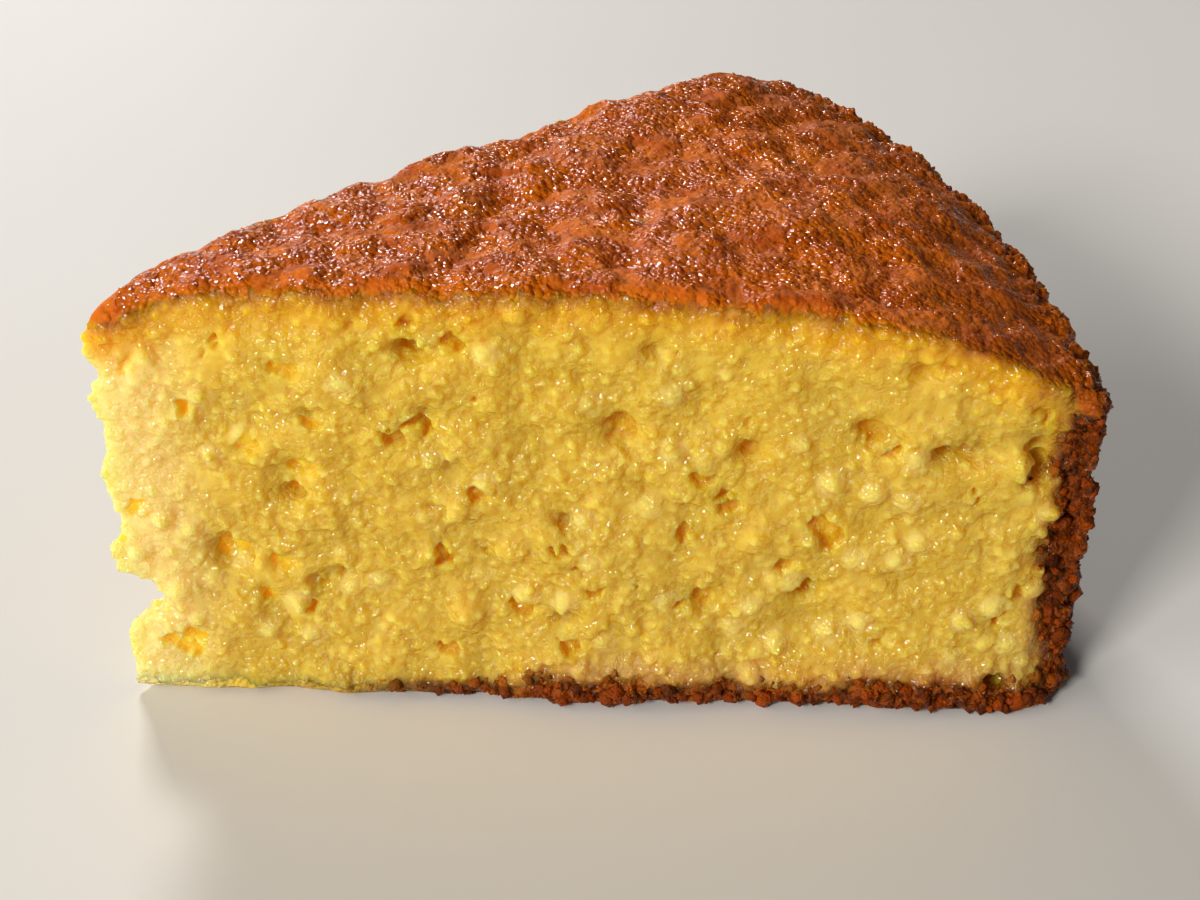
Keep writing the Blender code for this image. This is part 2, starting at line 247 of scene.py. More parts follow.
def kept_value(tree, name, data_type="FLOAT"):
    """A value kept on the mesh, read in a geometry tree."""
    made = node(tree, "GeometryNodeInputNamedAttribute", {"Name": name}, data_type=data_type)
    return made.outputs["Attribute"]


def keep_value(tree, geometry, name, value):
    feeds = {"Geometry": geometry, "Name": name, "Value": value}
    made = node(tree, "GeometryNodeStoreNamedAttribute", feeds, data_type="FLOAT", domain="POINT")
    return made.outputs["Geometry"]


def moved(tree, geometry, offset):
    feeds = {"Geometry": geometry, "Offset": offset}
    return node(tree, "GeometryNodeSetPosition", feeds).outputs[0]


def joined(tree, *parts):
    """Several geometries as one."""
    made = node(tree, "GeometryNodeJoinGeometry")
    for part in parts:
        tree.links.new(part, made.inputs[0])
    return made.outputs[0]


def object_geometry(tree, source):
    """The geometry of an object that is given to the tree."""
    made = node(tree, "GeometryNodeObjectInfo", {"Object": source}, transform_space="RELATIVE")
    return made.outputs["Geometry"]


def random_value(tree, seed, low, high, data_type="FLOAT"):
    made = node(tree, "FunctionNodeRandomValue", {"Seed": seed}, data_type=data_type)
    live = [socket for socket in made.inputs if socket.enabled and socket.name in ("Min", "Max")]
    live[0].default_value = low
    live[1].default_value = high
    return next(socket for socket in made.outputs if socket.enabled)


def skewed_size(tree, seed, least, most):
    """A random size between two inputs, more often small than large."""
    share = calc(tree, "POWER", random_value(tree, seed, 0.0, 1.0), 2.0)
    return calc(tree, "MULTIPLY_ADD", share, calc(tree, "SUBTRACT", most, least), least)


def scattered_points(tree, mesh, chosen, spacing, density, share, seed):
    """Points over the chosen faces, no closer than the spacing: the outputs of their node."""
    feeds = {
        "Mesh": mesh,
        "Selection": chosen,
        "Distance Min": spacing,
        "Density Max": density,
        "Density Factor": share,
        "Seed": seed,
    }
    kind = "GeometryNodeDistributePointsOnFaces"
    return node(tree, kind, feeds, distribute_method="POISSON").outputs


def scattered_lumps(tree, points, size, fineness, shift, roughness, roughness_size):
    """Rough balls on points, each turned its own way, moved in or out and bent by noise."""
    ball = node(tree, "GeometryNodeMeshIcoSphere", {"Radius": 1.0, "Subdivisions": fineness})
    stretch = random_value(tree, 9, (0.75, 0.75, 0.75), (1.2, 1.2, 1.2), "FLOAT_VECTOR")
    feeds = {
        "Points": moved(tree, points, shift),
        "Instance": ball.outputs[0],
        "Rotation": random_value(tree, 5, (0.0, 0.0, 0.0), (6.28, 6.28, 6.28), "FLOAT_VECTOR"),
        "Scale": vector_calc(tree, "SCALE", stretch, size),
    }
    copies = node(tree, "GeometryNodeInstanceOnPoints", feeds)
    real = node(tree, "GeometryNodeRealizeInstances", {"Geometry": copies.outputs[0]})
    where = node(tree, "GeometryNodeInputPosition").outputs[0]
    return moved(tree, real.outputs[0], wandering(tree, where, roughness_size, roughness))


def end_tree(tree, geometry, material, result):
    """Ends a tree in real meshes of one material."""
    real = node(tree, "GeometryNodeRealizeInstances", {"Geometry": geometry})
    feeds = {"Geometry": real.outputs[0], "Material": material}
    tree.links.new(node(tree, "GeometryNodeSetMaterial", feeds).outputs[0], result.inputs[0])


def run_tree(work, tree, **values):
    """Puts a geometry tree on an object, with its inputs set by name."""
    modifier = work.modifiers.new(tree.name, "NODES")
    modifier.node_group = tree
    inputs = [item for item in tree.interface.items_tree if item.in_out == "INPUT"]
    identifiers = {item.name: item.identifier for item in inputs}
    for name, value in values.items():
        modifier[identifiers[name.replace("_", " ")]] = value


grain_scatter, given, result = new_group(
    "grain_scatter",
    "GeometryNodeTree",
    (
        ("Geometry", "NodeSocketGeometry", None),
        ("Spacing", "NodeSocketFloat", GRAIN_SPACING),
        ("Smallest", "NodeSocketFloat", GRAIN_RADIUS[0]),
        ("Largest", "NodeSocketFloat", GRAIN_RADIUS[1]),
        ("Seed", "NodeSocketInt", 7),
        ("Material", "NodeSocketMaterial", None),
    ),
    (("Geometry", "NodeSocketGeometry"),),
)
tree = grain_scatter
place = node(tree, "GeometryNodeInputPosition").outputs[0]
scatter = scattered_points(
    tree,
    given["Geometry"],
    calc(tree, "GREATER_THAN", kept_value(tree, "torn"), 0.5),
    given["Spacing"],
    GRAIN_DENSITY,
    spread(tree, noise_value(tree, place, 0.009), 0.40, 0.54),
    given["Seed"],
)
size = skewed_size(tree, 3, given["Smallest"], given["Largest"])
sunk = calc(tree, "MULTIPLY", size, -GRAIN_SUNK)
inward = vector_calc(tree, "SCALE", scatter["Normal"], sunk)
centres = keep_value(tree, moved(tree, scatter["Points"], inward), "reach", size)
centres = node(tree, "GeometryNodePointsToVertices", {"Points": centres})
end_tree(tree, centres.outputs[0], given["Material"], result)

torn_crumb, given, result = new_group(
    "torn_crumb",
    "GeometryNodeTree",
    (
        ("Geometry", "NodeSocketGeometry", None),
        ("Grains", "NodeSocketObject", None),
        ("Roughness", "NodeSocketFloat", GRAIN_ROUGHNESS),
        ("Fine spacing", "NodeSocketFloat", FINE_GRAIN_SPACING),
        ("Fine smallest", "NodeSocketFloat", FINE_GRAIN_RADIUS[0]),
        ("Fine largest", "NodeSocketFloat", FINE_GRAIN_RADIUS[1]),
        ("Seed", "NodeSocketInt", 11),
        ("Material", "NodeSocketMaterial", None),
    ),
    (("Geometry", "NodeSocketGeometry"),),
)
tree = torn_crumb
lumps = scattered_lumps(
    tree,
    object_geometry(tree, given["Grains"]),
    kept_value(tree, "reach"),
    fineness=3,
    shift=(0.0, 0.0, 0.0),
    roughness=given["Roughness"],
    roughness_size=GRAIN_ROUGHNESS_SIZE,
)
lumpy = joined(tree, keep_value(tree, lumps, "torn", 1.0), given["Geometry"])
place = node(tree, "GeometryNodeInputPosition").outputs[0]
scatter = scattered_points(
    tree,
    lumpy,
    calc(tree, "GREATER_THAN", kept_value(tree, "torn"), 0.5),
    given["Fine spacing"],
    FINE_GRAIN_DENSITY,
    spread(tree, noise_value(tree, place, 0.005), 0.36, 0.52, 0.15, 1.0),
    given["Seed"],
)
size = skewed_size(tree, 4, given["Fine smallest"], given["Fine largest"])
sunk = calc(tree, "MULTIPLY", size, -FINE_GRAIN_SUNK)
fine_lumps = scattered_lumps(
    tree,
    scatter["Points"],
    size,
    fineness=1,
    shift=vector_calc(tree, "SCALE", scatter["Normal"], sunk),
    roughness=FINE_GRAIN_ROUGHNESS,
    roughness_size=FINE_GRAIN_ROUGHNESS_SIZE,
)
end_tree(tree, joined(tree, fine_lumps, lumpy), given["Material"], result)

grains = new_object("grain_centres", form.data.copy())
run_tree(grains, grain_scatter)
finish_mesh(grains)
body = new_object("slice_body", form.data.copy())
run_tree(body, torn_crumb, Grains=grains)
finish_mesh(
    body,
    ("REMESH", {"mode": "VOXEL", "voxel_size": BODY_VOXEL, "use_smooth_shade": True}),
    ("SMOOTH", {"factor": 0.5, "iterations": 1}),
)


def drop_scraps(mesh):
    """Drops every loose scrap of a mesh and keeps its largest part."""
    edges = np.empty(2 * len(mesh.edges), np.int64)
    mesh.edges.foreach_get("vertices", edges)
    edges = edges.reshape(-1, 2)
    label = np.arange(len(mesh.vertices))
    settled = False
    while not settled:
        before = label.copy()
        low = np.minimum(label[edges[:, 0]], label[edges[:, 1]])
        np.minimum.at(label, edges[:, 0], low)
        np.minimum.at(label, edges[:, 1], low)
        label = label[label]
        settled = np.array_equal(before, label)
    loose = np.nonzero(label != np.bincount(label).argmax())[0]
    if len(loose):
        shape = bmesh.new()
        shape.from_mesh(mesh)
        shape.verts.ensure_lookup_table()
        bmesh.ops.delete(shape, geom=[shape.verts[index] for index in loose], context="VERTS")
        shape.to_mesh(mesh)
        shape.free()


drop_scraps(body.data)
depth = depths_of(read_points(body.data))
near_share = smooth_step(-0.0008, 0.0008, depth["far"] - depth["near"])[:, None]
near_way = np.array([0.0, 1.0, 0.0])
far_way = np.array([math.sin(SLICE_ANGLE), -math.cos(SLICE_ANGLE), 0.0])
write_values(body.data, "into_slice", near_share * near_way + (1 - near_share) * far_way)
write_values(body.data, "at_cut", np.minimum(depth["near"], depth["far"]))
write_values(body.data, "from_tip", depth["radius"])

# The surface as the oven and the knife left it. True depths behind the browned top, rim and
# base are read from the form. The crumb breaks into scalloped clumps, grains and crisp-edged
# air pockets; the top has blisters and folds, and the rim is a mass of coarse toasted grains.
SIDES = ("top", "rim", "base")
CLUMP_SIZE = 0.0062
CRUMB_GRAIN_SIZE = 0.0021
FINE_CRUMB_SIZE = 0.0011
PORE_SIZES_AND_SHARES = ((0.0034, 0.012), (0.0021, 0.035))
BLISTER_SIZE = 0.0014
FINE_BLISTER_SIZE = 0.0008
FOLD_SIZE = 0.0085
CRAG_SIZE = 0.0026
FINE_CRAG_SIZE = 0.0012
SPLINTER_SIZE = 0.0009
SKIN_DEPTH = 0.0012
SKIN_RIPPLES = ((1900.0, 1300.0, 900.0), (-700.0, 2300.0, 1700.0))

oven_and_knife, given, result = new_group(
    "oven_and_knife",
    "GeometryNodeTree",
    (
        ("Geometry", "NodeSocketGeometry", None),
        ("Form", "NodeSocketObject", None),
        ("Grains", "NodeSocketObject", None),
        ("Clump height", "NodeSocketFloat", 0.0005),
        ("Grain height", "NodeSocketFloat", 0.0003),
        ("Fine grain height", "NodeSocketFloat", 0.00018),
        ("Pore depth", "NodeSocketFloat", 0.0010),
        ("Blister height", "NodeSocketFloat", 0.00022),
        ("Fold height", "NodeSocketFloat", 0.00040),
        ("Crag height", "NodeSocketFloat", 0.0009),
        ("Crag roughness", "NodeSocketFloat", 0.0022),
        ("Edge tuck", "NodeSocketFloat", 0.0006),
        ("Material", "NodeSocketMaterial", None),
    ),
    (("Geometry", "NodeSocketGeometry"),),
)
tree = oven_and_knife
place = node(tree, "GeometryNodeInputPosition").outputs[0]
normal = node(tree, "GeometryNodeInputNormal").outputs[0]
smooth_form = object_geometry(tree, given["Form"])
geometry = given["Geometry"]
for side in SIDES:
    chosen = calc(tree, "GREATER_THAN", kept_value(tree, f"on_{side}"), 0.5)
    feeds = {"Geometry": smooth_form, "Selection": chosen}
    patch = node(tree, "GeometryNodeSeparateGeometry", feeds, domain="FACE").outputs[0]
    near = node(tree, "GeometryNodeProximity", {0: patch}, target_element="FACES")
    geometry = keep_value(tree, geometry, f"{side}_depth", near.outputs["Distance"])
top_depth, rim_depth, base_depth = (kept_value(tree, f"{side}_depth") for side in SIDES)
skin_depth = calc(tree, "MINIMUM", calc(tree, "MINIMUM", top_depth, rim_depth), base_depth)
on_skin = spread(tree, skin_depth, 0.0014, 0.0004)
off_sides = spread(tree, calc(tree, "MINIMUM", top_depth, rim_depth), 0.0004, 0.0014)
at_cut = kept_value(tree, "at_cut")
at_tip = spread(tree, kept_value(tree, "from_tip"), 0.001, 0.012, 0.3, 1.0)


def enabled(sockets):
    """The value socket that is in use, of a node that has one for each type of data."""
    return next(socket for socket in sockets if socket.enabled and socket.name == "Value")


def at_grain(value, data_type):
    """A value that the nearest of the larger grains has."""
    feeds = {"Geometry": centres, "Index": nearest}
    made = node(tree, "GeometryNodeSampleIndex", feeds, data_type=data_type)
    tree.links.new(value, enabled(made.inputs))
    return enabled(made.outputs)


def relief(place, size, height):
    """Domes of a size that rise above the surface and sink below it by shares of a height."""
    return calc(tree, "MULTIPLY", calc(tree, "SUBTRACT", domes(tree, place, size), 0.6), height)


centres = object_geometry(tree, given["Grains"])
feeds = {"Geometry": centres, "Sample Position": place}
nearest = node(tree, "GeometryNodeSampleNearest", feeds).outputs[0]
reach = at_grain(kept_value(tree, "reach"), "FLOAT")
feeds = {0: place, 1: at_grain(place, "FLOAT_VECTOR")}
gap = node(tree, "ShaderNodeVectorMath", feeds, operation="DISTANCE").outputs["Value"]
on_grain = spread(tree, calc(tree, "DIVIDE", gap, reach), 1.35, 1.05)
off_grain = calc(tree, "MULTIPLY_ADD", on_grain, -0.85, 1.0)

ragged = vector_calc(tree, "ADD", place, wandering(tree, place, 0.0015, 0.0012))
coarse = spread(tree, noise_value(tree, place, 0.010), 0.36, 0.60, 0.5, 1.0)
clump = relief(ragged, CLUMP_SIZE, given["Clump height"])
grain = relief(ragged, CRUMB_GRAIN_SIZE, given["Grain height"])
fine = relief(place, FINE_CRUMB_SIZE, given["Fine grain height"])
crumb_rise = calc(tree, "ADD", calc(tree, "ADD", clump, grain), fine)
crumb_rise = product(tree, crumb_rise, coarse, off_grain)
pores = 0.0
for size, share in PORE_SIZES_AND_SHARES:
    picked = node(tree, "ShaderNodeSeparateXYZ", {0: cell_value(tree, ragged, size, "F1", "Color")})
    picked = calc(tree, "LESS_THAN", picked.outputs[0], share)
    edge = spread(tree, cell_value(tree, ragged, size, "DISTANCE_TO_EDGE"), 0.02, 0.14)
    pores = calc(tree, "MAXIMUM", calc(tree, "MULTIPLY", picked, edge), pores)
pore_zone = calc(tree, "MULTIPLY", spread(tree, skin_depth, 0.0025, 0.0045), off_grain)
wander = calc(tree, "SUBTRACT", noise_value(tree, place, 0.0012), 0.5)
pocket = spread(tree, calc(tree, "MULTIPLY_ADD", wander, 0.0008, at_cut), 0.0012, 0.0016)
behind_rim = spread(tree, rim_depth, 0.0060, 0.0080)
pocket = product(tree, pocket, behind_rim, spread(tree, at_cut, 0.0060, 0.0040))
pores = calc(tree, "MULTIPLY", calc(tree, "MAXIMUM", pores, pocket), pore_zone)
pore_floor = calc(tree, "MULTIPLY", given["Pore depth"], -1.0)
pore_floor = calc(tree, "MULTIPLY_ADD", pocket, 0.0005, pore_floor)
crumb_rise = blend(tree, pores, crumb_rise, pore_floor)
by_cut = spread(tree, at_cut, 0.007, 0.004)
crumb_sink = product(tree, crumb_rise, at_tip, -1.0, off_sides, by_cut)

cluster = spread(tree, noise_value(tree, place, 0.0055), 0.36, 0.60, 0.3, 1.0)
fine_blister = calc(tree, "MULTIPLY", domes(tree, place, FINE_BLISTER_SIZE), 0.5)
blister = calc(tree, "ADD", domes(tree, ragged, BLISTER_SIZE), fine_blister)
fold = calc(tree, "SUBTRACT", noise_value(tree, place, FOLD_SIZE), 0.5)
fold = spread(tree, calc(tree, "ABSOLUTE", fold), 0.0, 0.16)
top_rise = product(tree, blister, cluster, given["Blister height"])
top_rise = calc(tree, "MULTIPLY_ADD", fold, given["Fold height"], top_rise)
top_rise = calc(tree, "SUBTRACT", top_rise, 0.0004)
fine_crag = calc(tree, "MULTIPLY", domes(tree, ragged, FINE_CRAG_SIZE), 0.5)
crag = calc(tree, "ADD", domes(tree, ragged, CRAG_SIZE), fine_crag)
crag = calc(tree, "MULTIPLY", calc(tree, "SUBTRACT", crag, 0.9), given["Crag height"])
splinters = calc(tree, "SUBTRACT", noise_value(tree, place, SPLINTER_SIZE, 4.0, 0.7), 0.5)
crag = calc(tree, "MULTIPLY_ADD", splinters, given["Crag roughness"], crag)
by_rim = spread(tree, rim_depth, 0.0050, 0.0008)
skin_rise = calc(tree, "MULTIPLY", blend(tree, by_rim, top_rise, crag), on_skin)

height = node(tree, "ShaderNodeSeparateXYZ", {0: place}).outputs[2]
lifted = spread(tree, height, 0.0001, 0.0012)
into = kept_value(tree, "into_slice", "FLOAT_VECTOR")
tuck = product(tree, spread(tree, height, 0.0014, 0.0), spread(tree, at_cut, 0.0030, 0.0010))
sink = calc(tree, "MULTIPLY_ADD", tuck, given["Edge tuck"], crumb_sink)
inward = vector_calc(tree, "SCALE", into, sink)
outward = vector_calc(tree, "SCALE", normal, calc(tree, "MULTIPLY", skin_rise, lifted))
# These kept values place painted light in the crumb's colour: pore shade and glow, crown highlight.
shaped = keep_value(tree, geometry, "pores", pores)
large = spread(tree, reach, 0.0009, 0.0013, 0.25, 1.0)
shaped = keep_value(tree, shaped, "pale", calc(tree, "MULTIPLY", on_grain, large))
shaped = moved(tree, shaped, vector_calc(tree, "ADD", inward, outward))
# How far each point stands out of its surroundings, away from pores: where the painted highlight
# goes.
blurred = node(tree, "GeometryNodeBlurAttribute", {"Iterations": 8}, data_type="FLOAT_VECTOR")
tree.links.new(place, enabled(blurred.inputs))
away = vector_calc(tree, "SUBTRACT", place, enabled(blurred.outputs))
raised = node(tree, "ShaderNodeVectorMath", {0: away, 1: normal}, operation="DOT_PRODUCT")
spilled = node(tree, "GeometryNodeBlurAttribute", {"Iterations": 6}, data_type="FLOAT")
tree.links.new(kept_value(tree, "pores"), enabled(spilled.inputs))
clear = spread(tree, enabled(spilled.outputs), 0.25, 0.02)
shaped = keep_value(tree, shaped, "raised", calc(tree, "MULTIPLY", raised.outputs["Value"], clear))
end_tree(tree, shaped, given["Material"], result)

run_tree(body, oven_and_knife, Form=form, Grains=grains)
finish_mesh(body)
bpy.data.objects.remove(form)
bpy.data.objects.remove(grains)

points = read_points(body.data)
depth = depths_of(points)
top_depth, rim_depth, base_depth = (read_values(body.data, f"{side}_depth") for side in SIDES)
skin_depth = np.minimum(np.minimum(top_depth, rim_depth), base_depth)
ripple = sum(np.sin(points @ np.array(way)) for way in SKIN_RIPPLES)
inside_skin = SKIN_DEPTH * (1 + 0.25 * ripple) - skin_depth
# Painted highlight on crowns that stand out; large grains lighter, partly own tone, partly
# highlight.
raised = 0.7 * smooth_step(0.00004, 0.00030, read_values(body.data, "raised"))
write_values(body.data, "raised", np.maximum(raised, 0.85 * read_values(body.data, "pale")))
write_values(body.data, "inside_skin", inside_skin)

# The baked tone, which every piece of the slice shares: the crumb turns from pale yellow to
# gold and then brown towards the top, and to tan and dark brown towards the rim and the base.
# Light soaks through moist crumb and makes it glow. Painted light is added to the crumb's tone:
# painted glow at the thin tip and in the pores near it, painted shade in the pores and in the
# creases between grains, and a painted highlight that lightens crowns and large grains.


def srgb(red, green, blue):
    """A colour as a screen shows it, from 0 to 255, in the linear values that materials take."""
    linear = []
    for part in (red, green, blue):
        value = part / 255
        linear.append(value / 12.92 if value <= 0.04045 else ((value + 0.055) / 1.055) ** 2.4)
    return (*linear, 1.0)


def mix_colour(tree, share, first, second):
    feeds = {0: share, 6: first, 7: second}
    return node(tree, "ShaderNodeMix", feeds, data_type="RGBA", clamp_factor=True).outputs[2]


def surface_value(tree, name):
    """A value kept on the mesh, read in a material."""
    made = node(tree, "ShaderNodeAttribute", attribute_name=name, attribute_type="GEOMETRY")
    return made.outputs["Fac"]


def ramp(tree, value, *stops):
    """A colour that runs through stops, each as (position, colour)."""
    made = node(tree, "ShaderNodeValToRGB", {"Fac": value})
    elements = made.color_ramp.elements
    while len(elements) < len(stops):
        elements.new(0.5)
    for element, (position, colour) in zip(elements, stops):
        element.position = position
        element.color = colour
    return made.outputs["Color"]


MM = 0.001
CRUMB_YELLOW = srgb(234, 192, 50)
CRUMB_STRAW = srgb(230, 194, 68)
# Lighter yellow: painted highlight on crowns, and the large grains' partly own lighter tone.
PALE_HIGHLIGHT = srgb(240, 214, 120)
CRUMB_BY_RIM = srgb(218, 182, 66)
# Painted shade in the creases between grains.
GAP_SHADE_GOLD = srgb(220, 172, 26)
# Painted shade and glow in the pores: a deeper gold, and a bright yellow near the thin tip.
PORE_SHADE_GOLD = srgb(228, 172, 20)
PORE_GLOW_BY_TIP = srgb(246, 208, 44)
# Painted glow: the thin tip is lighter and brighter where light shines through it.
TIP_GLOW_YELLOW = srgb(240, 216, 128)
UNDER_TOP_GOLD = srgb(228, 164, 12)
UNDER_TOP_ORANGE = srgb(192, 106, 4)
TOP_ORANGE = srgb(208, 102, 4)
TOP_BROWN = srgb(178, 78, 2)
TOP_BY_RIM = srgb(156, 72, 4)
RIM_TAN = srgb(208, 154, 76)
RIM_GOLD = srgb(220, 156, 30)
RIM_BROWN = srgb(158, 78, 6)
RIM_WARM = srgb(132, 58, 2)
RIM_DARK = srgb(76, 28, 1)
BASE_DARK = srgb(84, 36, 2)
BASE_BROWN = srgb(134, 66, 6)
BASE_TAN = srgb(198, 140, 28)
TOASTED_DARK = srgb(58, 18, 1)
TOASTED_WARM = srgb(158, 64, 4)

baked_tone, given, result = new_group(
    "baked_tone",
    "ShaderNodeTree",
    (("Unevenness", "NodeSocketFloat", 1.0),),
    (("Color", "NodeSocketColor"),),
)
tree = baked_tone
place = node(tree, "ShaderNodeTexCoord").outputs["Object"]
patches = noise_value(tree, place, 0.012, 3.0)
blotches = calc(tree, "SUBTRACT", noise_value(tree, place, 0.0035, 3.0), 0.5)
drift = calc(tree, "MULTIPLY", blotches, calc(tree, "MULTIPLY", given["Unevenness"], 2.6 * MM))
top_way = calc(tree, "ADD", surface_value(tree, "top_depth"), drift)
rim_way = calc(tree, "ADD", surface_value(tree, "rim_depth"), drift)
base_way = calc(tree, "MULTIPLY_ADD", drift, 0.6, surface_value(tree, "base_depth"))
crumb = mix_colour(tree, spread(tree, patches, 0.35, 0.65), CRUMB_YELLOW, CRUMB_STRAW)
by_rim = spread(tree, surface_value(tree, "rim_depth"), 60 * MM, 10 * MM)
crumb = mix_colour(tree, by_rim, crumb, CRUMB_BY_RIM)
# Deeper gold towards the edges of small round cells: painted shade in the creases between grains.
wander = vector_calc(tree, "SCALE", noise_value(tree, place, 0.0011, 2.0, output=1), 1.1 * MM)
gap_shade = cell_value(tree, vector_calc(tree, "ADD", place, wander), 0.00095)
crumb = mix_colour(tree, spread(tree, gap_shade, 0.22, 0.62, 0.0, 0.5), crumb, GAP_SHADE_GOLD)
# The thin tip is painted a lighter, brighter yellow: painted glow of light through it.
tip_glow_share = spread(tree, surface_value(tree, "from_tip"), 2 * MM, 14 * MM, 1.0, 0.0)
crumb = mix_colour(tree, tip_glow_share, crumb, TIP_GLOW_YELLOW)
# Crowns and large grains are painted lighter: painted highlight, on large grains partly own tone.
highlight_share = calc(tree, "MULTIPLY", surface_value(tree, "raised"), 0.6)
crumb = mix_colour(tree, highlight_share, crumb, PALE_HIGHLIGHT)
# Pores: deeper gold as painted shade, bright yellow near the tip as painted glow.
pore_glow_share = spread(tree, surface_value(tree, "from_tip"), 16 * MM, 34 * MM, 1.0, 0.0)
pore_shade_and_glow = mix_colour(tree, pore_glow_share, PORE_SHADE_GOLD, PORE_GLOW_BY_TIP)
crumb = mix_colour(tree, surface_value(tree, "pores"), crumb, pore_shade_and_glow)
patchy = spread(tree, noise_value(tree, place, 0.0045, 4.0, 0.6), 0.38, 0.62)
top_tone = mix_colour(tree, patchy, TOP_BROWN, TOP_ORANGE)
towards_rim = spread(tree, surface_value(tree, "rim_depth"), 26 * MM, 2 * MM, 0.0, 0.75)
top_tone = mix_colour(tree, towards_rim, top_tone, TOP_BY_RIM)
under_top = ramp(
    tree,
    calc(tree, "DIVIDE", top_way, 8 * MM, clamp=True),
    (0.13, UNDER_TOP_ORANGE),
    (0.32, UNDER_TOP_GOLD),
    (0.85, CRUMB_YELLOW),
)
under_top = mix_colour(tree, spread(tree, top_way, 0.2 * MM, 1.6 * MM), top_tone, under_top)
tone = mix_colour(tree, spread(tree, top_way, 3.0 * MM, 7.5 * MM), under_top, crumb)
specks = spread(tree, noise_value(tree, place, 0.0012, 4.0, 0.65), 0.44, 0.60)
height = node(tree, "ShaderNodeSeparateXYZ", {0: place}).outputs[2]
low_down = spread(tree, height, 26 * MM, 14 * MM)
rim_tone = ramp(
    tree,
    calc(tree, "DIVIDE", rim_way, 8 * MM, clamp=True),
    (0.0, RIM_WARM),
    (0.18, RIM_BROWN),
    (0.40, RIM_GOLD),
    (0.85, CRUMB_YELLOW),
)
tan_patches = spread(tree, patches, 0.40, 0.58)
tan_share = product(tree, spread(tree, rim_way, 1.6 * MM, 2.8 * MM), low_down, tan_patches)
rim_tone = mix_colour(tree, tan_share, rim_tone, RIM_TAN)
dark_share = calc(tree, "MULTIPLY", spread(tree, rim_way, 2.2 * MM, 0.8 * MM), specks)
rim_tone = mix_colour(tree, dark_share, rim_tone, RIM_DARK)
beside_top = spread(tree, surface_value(tree, "top_depth"), 0.2 * MM, 1.2 * MM)
rim_share = calc(tree, "MULTIPLY", spread(tree, rim_way, 1.6 * MM, 6.0 * MM, 1.0, 0.0), beside_top)
tone = mix_colour(tree, rim_share, tone, rim_tone)
base_tone = ramp(
    tree,
    calc(tree, "DIVIDE", base_way, 6 * MM, clamp=True),
    (0.05, BASE_BROWN),
    (0.25, BASE_BROWN),
    (0.42, BASE_TAN),
    (0.70, CRUMB_YELLOW),
)
dark_share = calc(tree, "MULTIPLY", spread(tree, base_way, 2.0 * MM, 0.6 * MM), specks)
base_tone = mix_colour(tree, dark_share, base_tone, BASE_DARK)
off_tip = spread(tree, surface_value(tree, "from_tip"), 14 * MM, 36 * MM)
off_rim = spread(tree, surface_value(tree, "rim_depth"), 0.8 * MM, 3.0 * MM)
low = spread(tree, base_way, 1.2 * MM, 3.8 * MM, 1.0, 0.0)
base_share = product(tree, low, off_tip, off_rim)
tone = mix_colour(tree, base_share, tone, base_tone)
tree.links.new(tone, result.inputs["Color"])

# Moisture: a film over the grains that glints in clusters, with duller crumb between them. Fine
# and coarse grains in its height break the glints up into dots.
moist_film, given, result = new_group(
    "moist_film",
    "ShaderNodeTree",
    (
        ("Cluster size", "NodeSocketFloat", 0.005),
        ("Grain size", "NodeSocketFloat", 0.00045),
        ("Grain height", "NodeSocketFloat", 0.00008),
        ("Coarseness", "NodeSocketFloat", 1.0),
        ("Driest", "NodeSocketFloat", 0.6),
        ("Wettest", "NodeSocketFloat", 0.2),
    ),
    (("Roughness", "NodeSocketFloat"), ("Height", "NodeSocketFloat")),
)
tree = moist_film
place = node(tree, "ShaderNodeTexCoord").outputs["Object"]


def sized(kind, size):
    """A texture whose grain is given by a size input in metres."""
    return node(tree, kind, {"Vector": place, "Scale": calc(tree, "DIVIDE", 1.0, size)})


def round_grains(size):
    """Round grains packed side by side, of a size input in metres."""
    reach = sized("ShaderNodeTexVoronoi", size).outputs["Distance"]
    rest = calc(tree, "MULTIPLY_ADD", calc(tree, "MULTIPLY", reach, reach), -1.4, 1.0)
    return calc(tree, "MAXIMUM", rest, 0.0)


wet = sized("ShaderNodeTexNoise", given["Cluster size"])
wet.inputs["Detail"].default_value = 4.0
wet.inputs["Roughness"].default_value = 0.65
film = spread(tree, wet.outputs[0], 0.41, 0.52)
fine = sized("ShaderNodeTexNoise", given["Grain size"]).outputs[0]
height = calc(tree, "MULTIPLY_ADD", fine, 0.6, round_grains(given["Grain size"]))
height = calc(tree, "MULTIPLY", height, calc(tree, "MULTIPLY_ADD", film, 0.6, 0.4))
coarse = round_grains(calc(tree, "MULTIPLY", given["Grain size"], 2.1))
height = calc(tree, "MULTIPLY_ADD", coarse, given["Coarseness"], height)
height = calc(tree, "MULTIPLY", height, given["Grain height"])
tree.links.new(blend(tree, film, given["Driest"], given["Wettest"]), result.inputs["Roughness"])
tree.links.new(height, result.inputs["Height"])


